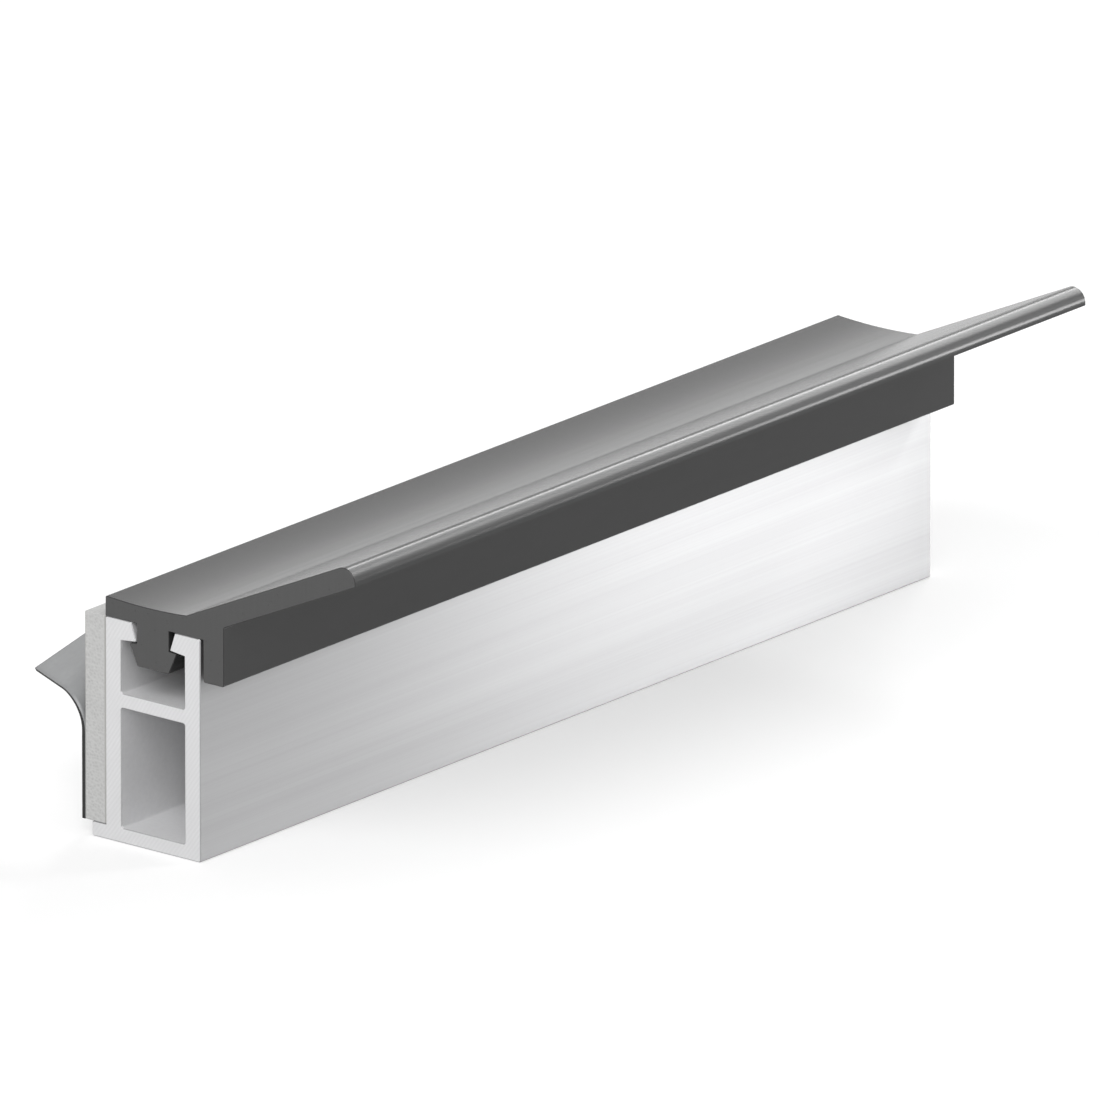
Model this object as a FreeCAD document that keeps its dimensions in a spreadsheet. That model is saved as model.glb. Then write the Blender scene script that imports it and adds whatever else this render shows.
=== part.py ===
# Self-adhesive door seal strip, cut to a short length.
#
# An extruded aluminium carrier has a slot along its top and a hollow chamber below it.
# A rubber seal is pushed into the slot. Its plate lies on the carrier, its skirt hangs over
# the front, and its lip rises and ends in a rounded nose. A foam adhesive tape stands on the
# carrier's ledge, and its release liner is peeled back at the near top corner.
#
# Millimetres and degrees. X runs across the strip, with the lip towards +X and the tape
# towards -X. Y runs along the strip, with the peeled corner at the -Y end. Z is up. The
# origin is on the carrier's underside, midway between its walls and its ends.

import FreeCAD, Part
import math
import os
import Sketcher

from FreeCAD import Base, Vector

# Each driving dimension is set here once: its name, its value and what it measures.
SIZES = (
    ("strip_length", 75.0, "length the strip is cut to"),
    ("carrier_width", 7.8, "carrier, from face to face of its walls"),
    ("carrier_height", 15.0, "carrier, from underside to top"),
    ("wall_thickness", 1.3, "side walls of the carrier"),
    ("floor_thickness", 1.0, "floor of the carrier, and its ledge"),
    ("web_thickness", 1.0, "web between the slot and the chamber"),
    ("slot_depth", 4.95, "from the top of the carrier to the web"),
    ("ledge_reach", 1.15, "how far the ledge stands out from the back wall"),
    ("hook_depth", 1.3, "thickness of a hook at its tip"),
    ("hook_reach", 1.23, "how far a hook stands in from its side wall"),
    ("hook_undercut", 0.12, "how much thicker a hook is at its root"),
    ("mouth_flare", 0.43, "how far each side of the slot's mouth leans outwards"),
    ("carrier_edge_radius", 0.15, "rounding of the carrier's outer edges"),
    ("carrier_inner_radius", 0.15, "rounding of the corners inside the carrier"),
    ("hook_edge_radius", 0.1, "rounding of the edges of a hook"),
    ("stem_gap", 0.05, "clearance between the stem and the tip of a hook"),
    ("foot_overhang", 0.62, "how far a shoulder of the foot reaches past the stem"),
    ("foot_gap", 0.05, "clearance between a shoulder and the hook above it"),
    ("foot_height", 1.52, "foot of the seal, from its neck to its underside"),
    ("foot_taper", 0.64, "how far each side of the foot leans inwards"),
    ("plate_thickness", 1.35, "plate of the seal that lies on the carrier"),
    ("skirt_gap", 0.25, "clearance between the skirt and the front wall"),
    ("skirt_thickness", 1.67, "skirt of the seal"),
    ("skirt_drop", 2.84, "how far the skirt hangs below the carrier's top"),
    ("lip_setback", 1.16, "how far behind the front wall's face the lip starts"),
    ("lip_angle", 24.7, "rise of the lip, in degrees"),
    ("lip_thickness", 1.47, "lip of the seal"),
    ("lip_reach", 12.7, "how far the lip reaches past the front wall's face"),
    ("nose_flat", 0.17, "flat left below the rounding of the lip's nose"),
    ("lip_root_radius", 0.2, "rounding where the lip leaves the plate and the skirt"),
    ("seal_edge_radius", 0.12, "rounding of the other edges of the seal"),
    ("tape_thickness", 1.7, "foam adhesive tape"),
    ("liner_thickness", 0.25, "release liner"),
    ("peel_start", 5.9, "height on the end of the tape where the peeling starts"),
    ("peel_run", 17.7, "how far along the top edge the liner is peeled"),
    ("bend_radius", 1.7, "inside radius of the liner's bend"),
    ("bend_angle", 104.0, "how far the peeled corner is turned back, in degrees"),
)

# Places that several corners share, as formulas of the sheet's values.
FRONT = "dims.carrier_width / 2"
INNER_FRONT = "dims.carrier_width / 2 - dims.wall_thickness"
THROAT = "dims.carrier_width / 2 - dims.wall_thickness - dims.hook_reach"
STEM = "dims.carrier_width / 2 - dims.wall_thickness - dims.hook_reach - dims.stem_gap"
TOP = "dims.carrier_height"
SLOT_FLOOR = "dims.carrier_height - dims.slot_depth"
HOOK_TIP = "dims.carrier_height - dims.hook_depth"
SKIRT_INNER = "dims.carrier_width / 2 + dims.skirt_gap"
SKIRT_OUTER = "dims.carrier_width / 2 + dims.skirt_gap + dims.skirt_thickness"
PLATE_TOP = "dims.carrier_height + dims.plate_thickness"
LIP_ROOT = "dims.carrier_width / 2 - dims.lip_setback"
LIP_NOSE = "dims.carrier_width / 2 + dims.lip_reach"
NECK = "dims.carrier_height - dims.hook_depth - dims.foot_gap"

# How near, in millimetres, two places have to be to count as one.
TOLERANCE = 1e-4


def make_sheet(doc):
    """The spreadsheet with the driving dimensions, and their values by name."""
    sheet = doc.addObject("Spreadsheet::Sheet", "dims")
    for row, (name, value, meaning) in enumerate(SIZES, start=1):
        sheet.set(f"A{row}", meaning)
        sheet.set(f"B{row}", str(value))
        sheet.setAlias(f"B{row}", name)
    doc.recompute()
    return {name: float(getattr(sheet, name)) for name, value, meaning in SIZES}


def draw_outline(sketch, corners):
    """Draws a closed outline of straight lines. A corner is its name, its X and its Z, and
    each is dimensioned from the origin unless it is level with the corner before it."""
    first_line = sketch.GeometryCount
    count = len(corners)
    step = 2 * math.pi / count
    loose = [Vector(math.cos(i * step), math.sin(i * step), 0) for i in range(count)]
    for i in range(count):
        sketch.addGeometry(Part.LineSegment(loose[i], loose[(i + 1) % count]), False)
    for i in range(count):
        following = first_line + (i + 1) % count
        sketch.addConstraint(Sketcher.Constraint("Coincident", first_line + i, 2, following, 1))
    for i, (name, x, z) in enumerate(corners):
        before = corners[i - 1] if i else (None, None, None)
        for axis, place, same, start in (
            ("X", x, before[1], loose[i].x),
            ("Y", z, before[2], loose[i].y),
        ):
            if place == same:
                level = "Vertical" if axis == "X" else "Horizontal"
                sketch.addConstraint(Sketcher.Constraint(level, first_line + i - 1))
                continue
            dimension = Sketcher.Constraint("Distance" + axis, -1, 1, first_line + i, 1, start)
            number = sketch.addConstraint(dimension)
            label = name + ("_x" if axis == "X" else "_z")
            sketch.renameConstraint(number, label)
            sketch.setExpression("Constraints." + label, place)


def extrude_section(doc, label, outlines):
    """A body with one cross-section, extruded to the strip's length about its middle. Returns
    the body, its pad and the place of each named corner as (X, Z)."""
    body = doc.addObject("PartDesign::Body", label)
    body.Label = label
    plane = next(f for f in body.Origin.OriginFeatures if f.Role == "XZ_Plane")
    section = body.newObject("Sketcher::SketchObject", label + "_section")
    section.AttachmentSupport = [(plane, "")]
    section.MapMode = "FlatFace"
    for corners in outlines:
        draw_outline(section, corners)
    pad = body.newObject("PartDesign::Pad", label + "_extrusion")
    pad.Profile = section
    pad.SideType = "Symmetric"
    pad.setExpression("Length", "dims.strip_length")
    doc.recompute()
    names = [name for corners in outlines for name, x, z in corners]
    points = [line.StartPoint for line in section.Geometry]
    return body, pad, {name: (point.x, point.y) for name, point in zip(names, points)}


def round_corners(doc, body, base, label, corners, radius):
    """Rounds the long edges of base that run through these corners of the section."""
    edges = []
    for number, edge in enumerate(base.Shape.Edges, start=1):
        ends = [vertex.Point for vertex in edge.Vertexes]
        for x, z in corners:
            if all(math.hypot(end.x - x, end.z - z) < TOLERANCE for end in ends):
                edges.append(f"Edge{number}")
    fillet = body.newObject("PartDesign::Fillet", label)
    fillet.Base = (base, edges)
    fillet.setExpression("Radius", radius)
    doc.recompute()
    return fillet


def mirrored(corners):
    """The same corners on the other side of the slot, in reverse order."""
    return [
        (name.replace("front", "back"), f"-({x})", z) for name, x, z in reversed(corners)
    ]


def make_carrier(doc):
    """The aluminium extrusion: ledge, walls, hooked slot, web and hollow chamber."""
    hook_root = f"{HOOK_TIP} - dims.hook_undercut"
    back_of_ledge = f"-({FRONT}) - dims.ledge_reach"
    chamber_roof = f"{SLOT_FLOOR} - dims.web_thickness"
    front_hook = [
        ("top_front", FRONT, TOP),
        ("mouth_front", f"{THROAT} + dims.mouth_flare", TOP),
        ("tip_front", THROAT, HOOK_TIP),
        ("root_front", INNER_FRONT, hook_root),
        ("slot_front", INNER_FRONT, SLOT_FLOOR),
    ]
    outside = [
        ("ledge_low", back_of_ledge, "0"),
        ("foot_front", FRONT, "0"),
        *front_hook,
        *mirrored(front_hook),
        ("ledge_root", f"-({FRONT})", "dims.floor_thickness"),
        ("ledge_top", back_of_ledge, "dims.floor_thickness"),
    ]
    chamber = [
        ("floor_back", f"-({INNER_FRONT})", "dims.floor_thickness"),
        ("floor_front", INNER_FRONT, "dims.floor_thickness"),
        ("roof_front", INNER_FRONT, chamber_roof),
        ("roof_back", f"-({INNER_FRONT})", chamber_roof),
    ]
    body, pad, at = extrude_section(doc, "carrier_profile", [outside, chamber])
    outer = ["ledge_low", "ledge_top", "foot_front", "top_front", "top_back"]
    inner = ["slot_front", "slot_back", *(name for name, x, z in chamber)]
    hooks = ["mouth_front", "tip_front", "tip_back", "mouth_back"]
    last = pad
    for label, names, radius in (
        ("outer_edges", outer, "dims.carrier_edge_radius"),
        ("inner_corners", inner, "dims.carrier_inner_radius"),
        ("hook_edges", hooks, "dims.hook_edge_radius"),
    ):
        last = round_corners(doc, body, last, label, [at[name] for name in names], radius)
    return body


def make_seal(doc):
    """The rubber extrusion: plate, stem and foot, skirt, and lip with its rounded nose."""
    slope = "dims.hook_undercut / dims.hook_reach"
    foot_underside = f"{NECK} - dims.foot_height"
    front_foot = [
        ("foot_front", f"{STEM} + dims.foot_overhang - dims.foot_taper", foot_underside),
        ("shoulder_front", f"{STEM} + dims.foot_overhang", f"{NECK} - dims.foot_overhang * {slope}"),
        ("neck_front", STEM, NECK),
        ("stem_front", STEM, TOP),
    ]
    skirt_end = f"{TOP} - dims.skirt_drop"
    under_lip = "dims.lip_thickness / cos(dims.lip_angle)"
    nose_radius = f"({under_lip} - dims.nose_flat) * tan((90 - dims.lip_angle) / 2)"
    rise_at_skirt = f"({SKIRT_OUTER} - ({LIP_ROOT})) * tan(dims.lip_angle)"
    rise_at_nose = "(dims.lip_reach + dims.lip_setback) * tan(dims.lip_angle)"
    outline = [
        ("plate_low_back", f"-({FRONT})", TOP),
        *mirrored(front_foot),
        *front_foot,
        ("skirt_root", SKIRT_INNER, TOP),
        ("skirt_inner", SKIRT_INNER, skirt_end),
        ("skirt_outer", SKIRT_OUTER, skirt_end),
        ("under_lip", SKIRT_OUTER, f"{PLATE_TOP} + {rise_at_skirt} - {under_lip}"),
        ("nose_low", LIP_NOSE, f"{PLATE_TOP} + {rise_at_nose} - {under_lip}"),
        ("nose_top", LIP_NOSE, f"{PLATE_TOP} + {rise_at_nose}"),
        ("lip_root", LIP_ROOT, PLATE_TOP),
        ("plate_top_back", f"-({FRONT})", PLATE_TOP),
    ]
    body, pad, at = extrude_section(doc, "lip_seal", [outline])
    foot = ["foot_front", "foot_back", "shoulder_front", "shoulder_back"]
    edges = [*foot, "skirt_inner", "skirt_outer", "plate_top_back"]
    last = pad
    for label, names, radius in (
        ("nose", ["nose_top"], nose_radius),
        ("lip_roots", ["under_lip", "lip_root"], "dims.lip_root_radius"),
        ("seal_edges", edges, "dims.seal_edge_radius"),
    ):
        last = round_corners(doc, body, last, label, [at[name] for name in names], radius)
    return body


def make_tape(doc):
    """The foam tape: it stands on the ledge, lies against the back wall and ends level with
    the carrier's top."""
    back = f"-({FRONT}) - dims.tape_thickness"
    outline = [
        ("low_back", back, "dims.floor_thickness"),
        ("low_front", f"-({FRONT})", "dims.floor_thickness"),
        ("top_front", f"-({FRONT})", TOP),
        ("top_back", back, TOP),
    ]
    body, pad, at = extrude_section(doc, "foam_tape", [outline])
    return body


def make_liner(doc, size):
    """The release liner: a flat strip whose near top corner is peeled off the tape along a
    slanting fold. Its cut edges stay straight in the flat pattern, so they turn into helices
    round the bend.

    It is drawn beside the fold: its own X points to the peeled corner, Y runs along the fold
    and Z away from the tape."""
    width = size["carrier_height"] - size["floor_thickness"]
    height = width - size["peel_start"]
    run = size["peel_run"]
    fold = math.hypot(run, height)
    along = Vector(0, run / fold, height / fold)
    across = Vector(0, -height / fold, run / fold)
    outwards = Vector(-1, 0, 0)
    corner_across = run * height / fold
    corner_along = height * height / fold

    bend = math.radians(size["bend_angle"])
    radius = size["bend_radius"] + size["liner_thickness"]
    bend_length = (size["bend_radius"] + size["liner_thickness"] / 2) * bend

    def flat(along_strip, up):
        """A point of the flat pattern, from the start of the fold."""
        point = Vector(0, along_strip, up)
        return Vector(point.dot(across), point.dot(along), 0)

    def low_edge(distance):
        """Where the liner's end edge is along the fold, at a distance from it."""
        return corner_along * distance / corner_across

    def high_edge(distance):
        """Where the liner's top edge is along the fold, at a distance from it."""
        return fold - (fold - corner_along) * distance / corner_across

    def face_of(points):
        return Part.Face(Part.makePolygon([*points, points[0]]))

    far = size["strip_length"]
    stuck = face_of(
        [
            flat(0, 0),
            flat(run, height),
            flat(far, height),
            flat(far, -size["peel_start"]),
            flat(0, -size["peel_start"]),
        ]
    )

    roll = Part.Cylinder()
    roll.Axis = Vector(0, 1, 0)
    roll.Center = Vector(0, 0, radius)
    roll.Radius = radius
    quarter = math.pi / 2
    ring = [
        Base.Vector2d(quarter, 0),
        Base.Vector2d(quarter, fold),
        Base.Vector2d(quarter - bend, high_edge(bend_length)),
        Base.Vector2d(quarter - bend, low_edge(bend_length)),
    ]
    sides = [
        Part.Geom2d.Line2dSegment(start, end).toShape(roll)
        for start, end in zip(ring, [*ring[1:], ring[0]])
    ]
    bent = Part.Face(roll, Part.Wire(sides))
    bent.validate()

    bend_end = Vector(radius * math.sin(bend), 0, radius * (1 - math.cos(bend)))
    onwards = Vector(math.cos(bend), 0, math.sin(bend)) * (corner_across - bend_length)
    flap = face_of(
        [
            bend_end + Vector(0, low_edge(bend_length), 0),
            bend_end + Vector(0, high_edge(bend_length), 0),
            bend_end + onwards + Vector(0, corner_along, 0),
        ]
    )

    skin = Part.makeShell([stuck, bent, flap])
    liner = doc.addObject("Part::Feature", "release_liner")
    liner.Label = "release_liner"
    liner.Shape = skin.makeOffsetShape(size["liner_thickness"], TOLERANCE, fill=True)
    back_of_tape = -size["carrier_width"] / 2 - size["tape_thickness"]
    fold_start = Vector(
        back_of_tape, -size["strip_length"] / 2, size["floor_thickness"] + size["peel_start"]
    )
    turned = FreeCAD.Matrix()
    for column, axis in enumerate((across, along, outwards)):
        turned.setCol(column, axis)
    liner.Placement = FreeCAD.Placement(fold_start, FreeCAD.Rotation(turned))
    return liner


def check_and_export(doc, pieces):
    """Stops if a step failed, and writes each piece to its own file."""
    doc.recompute()
    for item in doc.Objects:
        if "Invalid" in item.State or "Error" in item.State:
            raise RuntimeError(f"{item.Label} failed: {item.State}")
    for piece in pieces:
        if piece.Shape.isNull() or not piece.Shape.isValid():
            raise RuntimeError(f"{piece.Label} has no valid shape")
        if len(piece.Shape.Solids) != 1:
            raise RuntimeError(f"{piece.Label} is not one solid")
    os.makedirs("parts", exist_ok=True)
    for piece in pieces:
        piece.Shape.exportStep(os.path.join("parts", piece.Label + ".step"))
        box = piece.Shape.BoundBox
        print(
            f"{piece.Label}: {piece.Shape.Volume:.1f} mm3,"
            f" X {box.XMin:.2f} to {box.XMax:.2f},"
            f" Y {box.YMin:.2f} to {box.YMax:.2f},"
            f" Z {box.ZMin:.2f} to {box.ZMax:.2f}"
        )


def main():
    doc = FreeCAD.newDocument("door_seal_strip")
    size = make_sheet(doc)
    pieces = [make_carrier(doc), make_seal(doc), make_tape(doc), make_liner(doc, size)]
    check_and_export(doc, pieces)


main()
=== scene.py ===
# Self-adhesive door seal strip, dressed for the render.
#
# The carrier, the lip seal and the foam tape are extrusions, so one node tree makes them from
# their sections. The release liner is a flat strip that a second tree rolls back at one corner.
# Everything is in metres, in the frame's own axes: X across the strip with the lip towards +X,
# Y along it with the peeled corner at the -Y end, and Z up.

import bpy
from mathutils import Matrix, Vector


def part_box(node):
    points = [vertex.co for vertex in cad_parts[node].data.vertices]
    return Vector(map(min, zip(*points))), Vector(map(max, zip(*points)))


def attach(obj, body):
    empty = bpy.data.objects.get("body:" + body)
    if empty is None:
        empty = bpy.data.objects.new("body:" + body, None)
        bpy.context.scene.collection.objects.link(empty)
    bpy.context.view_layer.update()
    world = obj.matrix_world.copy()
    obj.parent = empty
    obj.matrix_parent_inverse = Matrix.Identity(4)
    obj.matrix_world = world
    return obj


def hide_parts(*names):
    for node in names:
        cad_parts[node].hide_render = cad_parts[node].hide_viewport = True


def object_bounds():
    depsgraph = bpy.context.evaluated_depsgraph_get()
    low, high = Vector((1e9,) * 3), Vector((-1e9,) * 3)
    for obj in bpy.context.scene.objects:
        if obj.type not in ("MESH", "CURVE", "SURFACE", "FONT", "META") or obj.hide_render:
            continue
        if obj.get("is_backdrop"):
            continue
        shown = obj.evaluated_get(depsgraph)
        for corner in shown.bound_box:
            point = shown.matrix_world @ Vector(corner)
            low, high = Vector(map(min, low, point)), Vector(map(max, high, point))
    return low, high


bl_info = {
    "name": "Door seal strip",
    "version": (1, 0, 0),
    "blender": (4, 5, 0),
    "location": "3D View > Sidebar > Seal strip",
    "description": "Makes a self-adhesive door seal strip and the stage that it stands on",
    "category": "Object",
}

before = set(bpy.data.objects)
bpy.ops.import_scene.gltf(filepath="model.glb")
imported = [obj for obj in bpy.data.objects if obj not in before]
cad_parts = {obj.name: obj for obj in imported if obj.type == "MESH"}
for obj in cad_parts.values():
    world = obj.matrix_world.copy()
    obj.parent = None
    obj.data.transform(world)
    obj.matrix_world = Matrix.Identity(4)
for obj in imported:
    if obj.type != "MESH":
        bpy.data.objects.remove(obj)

import math

import bmesh
import bpy
from bpy.props import FloatProperty, FloatVectorProperty, PointerProperty
from mathutils import Vector

MM = 0.001
BODY = "root"

# The frame's boxes give the places that the sections share.
CARRIER_LOW, CARRIER_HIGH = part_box("carrier_profile")
SEAL_LOW, SEAL_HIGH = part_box("lip_seal")
TAPE_LOW, TAPE_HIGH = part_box("foam_tape")
LENGTH = CARRIER_HIGH.y - CARRIER_LOW.y

# A round corner is divided into the fewest steps and one more for each arc step of its radius,
# up to the most.
ARC_STEP = 0.05 * MM
FEWEST_STEPS = 4.0
MOST_STEPS = 24.0
# Points nearer than this are welded, and an edge that bends by more than this stays sharp.
WELD = 0.0005 * MM
SHARP_EDGE = math.radians(28)
# How much of a face's normal points along the strip: more than the first on a cut face, and
# more than the second on the broken edge round it.
CUT_SHARE = 0.9
BROKEN_SHARE = 0.5

# The floor reaches this far from the strip's middle, a hair below the strip.
FLOOR_REACH = 4.0
FLOOR_DROP = 0.02 * MM
# What the paper adds of its own to look plain white, and how strongly the white room lights.
PAPER_LIFT = 0.42
ROOM_FILL = 0.4
# The nearest and the farthest that the camera sees, as shares of its distance from the strip.
CLIP_START = 0.5
CLIP_END = 3

# Each soft box: its name, its place, what it faces, its width, its depth and its power in watts.
LAMPS = (
    # The main light, large and soft, stands above the camera and to its left.
    ("key", (0.14, -0.42, 0.33), (0, 0, 0.01), 0.44, 0.44, 2.35),
    # The front wall mirrors this one, and its die lines stretch it into an upright bright band.
    ("side", (0.128, 0.152, 0.021), (0.004, 0.012, 0.009), 0.034, 0.04, 0.076),
    # The dished plate mirrors this one beside the lip, and less and less towards its back edge.
    ("low", (-0.25, 0.3, 0.1), (0, 0, 0.016), 0.16, 0.045, 0.037),
    # The lip's rounded nose mirrors these three: in its middle, near its foot and at its top.
    ("arc", (0.07, 0.53, 0.46), (0.016, 0, 0.02), 0.72, 0.08, 2.3),
    ("right", (0.336, 0.445, 0.235), (0.016, 0, 0.02), 0.1, 0.28, 0.36),
    ("left", (-0.208, 0.44, 0.341), (0.016, 0, 0.02), 0.1, 0.12, 0.22),
)


def linear(colour):
    """An sRGB hex colour as linear red, green, blue and alpha."""
    shares = [(colour >> shift & 0xFF) / 0xFF for shift in (16, 8, 0)]
    return (*(c / 12.92 if c <= 0.04045 else ((c + 0.055) / 1.055) ** 2.4 for c in shares), 1.0)


def length(name, description, millimetres):
    return FloatProperty(
        name=name,
        description=description,
        default=millimetres * MM,
        precision=5,
        unit="LENGTH",
        subtype="DISTANCE",
    )


def paint(name, description, colour):
    return FloatVectorProperty(
        name=name, description=description, default=linear(colour), size=4, subtype="COLOR"
    )


class SealStripCarrier(bpy.types.PropertyGroup):
    wall: length("Wall", "Thickness of the side walls", 1.3)
    web: length("Web", "Thickness of the web between the slot and the chamber", 1.0)
    slot: length("Slot", "Depth of the slot, from the carrier's top to the web", 4.95)
    hook_depth: length("Hook depth", "Thickness of a hook at its tip", 1.3)
    hook_reach: length("Hook reach", "How far a hook stands in from its wall", 1.23)
    undercut: length("Undercut", "How much thicker a hook is at its root", 0.12)
    flare: length("Flare", "How far each side of the slot's mouth leans outwards", 0.43)
    outer_radius: length("Outer radius", "Rounding of the outer edges", 0.15)
    inner_radius: length("Inner radius", "Rounding of the corners in the slot and chamber", 0.15)
    hook_radius: length("Hook radius", "Rounding of the edges of the hooks", 0.1)
    edge_break: length("Edge break", "Deburred edge of the sawn ends", 0.06)
    finish: paint("Finish", "Natural anodised aluminium", 0xA0A0A1)
    # The inside's paler colour is painted light, which lifts the shade in the slot and chamber.
    inside: paint("Inside", "Etched aluminium inside the slot and chamber", 0xDDDDDE)
    cut: paint("Cut", "Bare aluminium of the sawn ends", 0xD5D5D6)


class SealStripSeal(bpy.types.PropertyGroup):
    stem_gap: length("Stem gap", "Clearance between the stem and a hook", 0.05)
    foot_overhang: length("Foot overhang", "How far a shoulder reaches past the stem", 0.62)
    foot_gap: length("Foot gap", "Clearance between a shoulder and its hook", 0.05)
    foot_taper: length("Foot taper", "How far each side of the foot leans inwards", 0.64)
    plate: length("Plate", "Thickness of the plate on the carrier", 1.35)
    dish: length("Dish", "How far the stem pulls the middle of the plate down", 0.13)
    skirt_gap: length("Skirt gap", "Clearance between the skirt and the carrier", 0.25)
    skirt: length("Skirt", "Thickness of the skirt", 1.67)
    skirt_drop: length("Skirt drop", "How far the skirt hangs below the carrier's top", 2.84)
    lip_setback: length("Lip setback", "How far behind the front wall's face the lip starts", 1.16)
    lip: length("Lip", "Thickness of the lip", 1.47)
    lip_angle: FloatProperty(
        name="Lip angle",
        description="Rise of the lip",
        default=math.radians(24.7),
        unit="ROTATION",
        subtype="ANGLE",
    )
    nose_flat: length("Nose flat", "Flat left below the rounding of the nose", 0.17)
    root_radius: length("Root radius", "Rounding at the lip's roots", 0.2)
    edge_radius: length("Edge radius", "Rounding of the other edges", 0.12)
    edge_break: length("Edge break", "Softness of the cut ends' edges", 0.04)
    rubber: paint("Rubber", "Extruded rubber", 0x2E2E2E)
    cut: paint("Cut", "Rubber where a knife cut it", 0x434343)


class SealStripTape(bpy.types.PropertyGroup):
    edge_radius: length("Edge radius", "Softness of the slit edges", 0.1)
    edge_break: length("Edge break", "Softness of the cut ends' edges", 0.05)
    film: length("Film", "Thickness of the adhesive on each side of the foam", 0.09)
    cell: length("Cell", "Width of a foam cell", 0.22)
    foam: paint("Foam", "Closed-cell foam", 0xBABAB9)
    adhesive: paint("Adhesive", "Adhesive film on the foam", 0xA9A9A6)


class SealStripLiner(bpy.types.PropertyGroup):
    thickness: length("Thickness", "Thickness of the liner", 0.25)
    peel_start: length("Peel start", "Height on the tape's end where the peeling starts", 5.9)
    peel_run: length("Peel run", "How far along the top edge the liner is peeled", 17.7)
    bend_radius: length("Bend radius", "Inside radius of the bend", 1.7)
    bend: FloatProperty(
        name="Bend",
        description="How far the peeled corner is turned back",
        default=math.radians(104),
        unit="ROTATION",
        subtype="ANGLE",
    )
    mesh_step: length("Mesh step", "Width of one face of the sheet", 0.3)
    paper: paint("Paper", "Back of the release paper", 0x8A8B8C)
    silicone: paint("Silicone", "Siliconised side, against the tape", 0x8E8F90)
    # The rim's near-black colour is painted shade along the thin cut edge, where the paper itself
    # is grey.
    edge: paint("Edge", "Cut edge of the paper", 0x1C1C1C)


class SealStripStage(bpy.types.PropertyGroup):
    azimuth: FloatProperty(
        name="Azimuth",
        description="How far the camera stands round to the right of the near end",
        default=math.radians(38.79),
        unit="ROTATION",
        subtype="ANGLE",
    )
    elevation: FloatProperty(
        name="Elevation",
        description="Height of the camera above the horizon",
        default=math.radians(18.12),
        unit="ROTATION",
        subtype="ANGLE",
    )
    lens: FloatProperty(name="Lens", description="Focal length in millimetres", default=1500)
    view_width: length("View width", "Width of the picture at the strip", 70.7)
    floor: paint("Floor", "Matt white paper", 0xCFCFCF)


class SealStrip(bpy.types.PropertyGroup):
    carrier: PointerProperty(type=SealStripCarrier)
    seal: PointerProperty(type=SealStripSeal)
    tape: PointerProperty(type=SealStripTape)
    liner: PointerProperty(type=SealStripLiner)
    stage: PointerProperty(type=SealStripStage)


def add_node(tree, kind, inputs=None, **settings):
    """Adds a node, sets its options and fills its inputs. A socket, or the first output of a
    node, is linked to an input, and anything else is the input's value."""
    node = tree.nodes.new(kind)
    for name, value in settings.items():
        setattr(node, name, value)
    for key, value in (inputs or {}).items():
        if isinstance(value, bpy.types.Node):
            value = value.outputs[0]
        if isinstance(value, bpy.types.NodeSocket):
            tree.links.new(value, node.inputs[key])
        else:
            node.inputs[key].default_value = value
    return node


def new_tree(name, sockets):
    """A geometry node tree with named inputs. Returns it and its input node."""
    tree = bpy.data.node_groups.new(name, "GeometryNodeTree")
    tree.interface.new_socket("Geometry", in_out="INPUT", socket_type="NodeSocketGeometry")
    for label, kind in sockets:
        tree.interface.new_socket(label, in_out="INPUT", socket_type="NodeSocket" + kind)
    tree.interface.new_socket("Geometry", in_out="OUTPUT", socket_type="NodeSocketGeometry")
    return tree, add_node(tree, "NodeGroupInput")


def run_tree(name, mesh, tree, values):
    """Runs a tree on a mesh and returns an object whose plain mesh is the result."""
    piece = bpy.data.objects.new(name, mesh)
    bpy.context.scene.collection.objects.link(piece)
    modifier = piece.modifiers.new("tree", "NODES")
    modifier.node_group = tree
    for item in tree.interface.items_tree:
        if item.in_out == "INPUT" and item.name in values:
            modifier[item.identifier] = values[item.name]
    evaluated = piece.evaluated_get(bpy.context.evaluated_depsgraph_get())
    result = bpy.data.meshes.new_from_object(evaluated)
    piece.modifiers.clear()
    piece.data = result
    result.name = name
    bpy.data.meshes.remove(mesh)
    for slot in reversed(range(len(result.materials))):
        if result.materials[slot] is None:
            result.materials.pop(index=slot)
    face_outwards(result)
    return piece


def face_outwards(data):
    """Turns every face of a closed mesh outwards."""
    mesh = bmesh.new()
    mesh.from_mesh(data)
    bmesh.ops.recalc_face_normals(mesh, faces=mesh.faces)
    if mesh.calc_volume(signed=True) < 0:
        bmesh.ops.reverse_faces(mesh, faces=mesh.faces)
    mesh.to_mesh(data)
    mesh.free()


def seat(piece, node):
    """The piece stands for a node of the frame and moves with its body."""
    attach(piece, BODY)
    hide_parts(node)


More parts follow.
